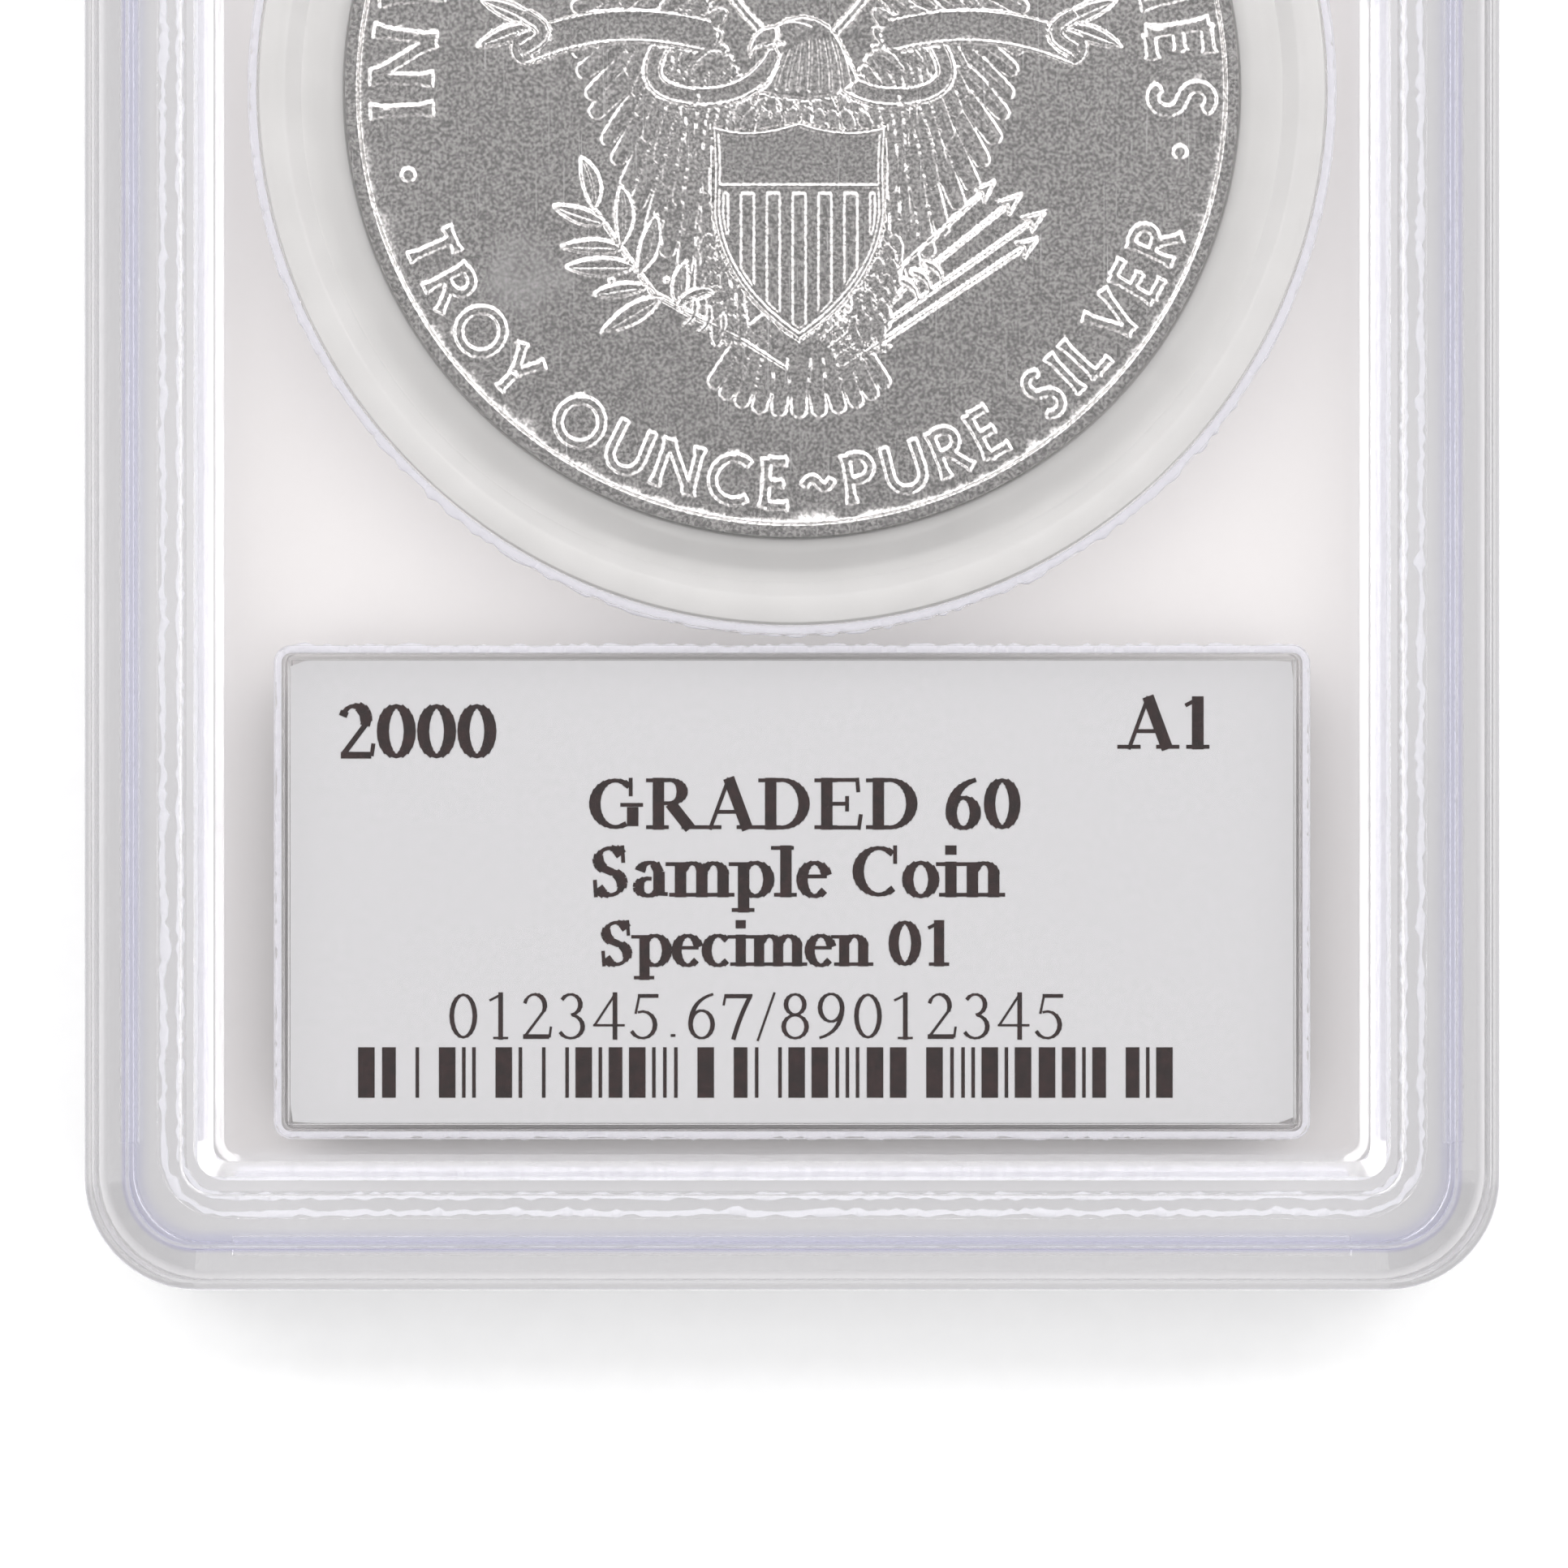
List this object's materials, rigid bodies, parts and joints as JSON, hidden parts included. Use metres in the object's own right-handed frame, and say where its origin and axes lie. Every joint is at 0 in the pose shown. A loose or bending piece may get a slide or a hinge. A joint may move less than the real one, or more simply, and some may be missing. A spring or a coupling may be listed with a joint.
{
  "type": "graded coin slab",
  "caption": "Sealed clear plastic holder: two welded shells clamp a large silver coin in a soft ring above a printed label card.",
  "frame": {"origin": "middle of the underside, which is the plane of the front face's stacking lip", "axes": "+X along the width, +Y along the length from the label end to the coin end, +Z out of the back face"},
  "size_m": [0.0638, 0.086, 0.0079],
  "materials": {
    "clear_shell": "clear injection-moulded plastic, polished faces",
    "soft_ring": "translucent soft plastic, satin",
    "coin_silver": "fine silver, struck, matt field",
    "label_card": "coated card, printed in dark ink",
    "weld_plastic": "re-melted clear plastic, frosty and uneven"
  },
  "bodies": {
    "root": {"back_shell": "clear_shell", "front_shell": "clear_shell", "coin_ring": "soft_ring", "coin": "coin_silver", "back_label": "label_card", "front_label": "label_card", "rim_weld": "weld_plastic", "label_weld": "weld_plastic", "ring_weld": "weld_plastic"}
  },
  "joints": []
}
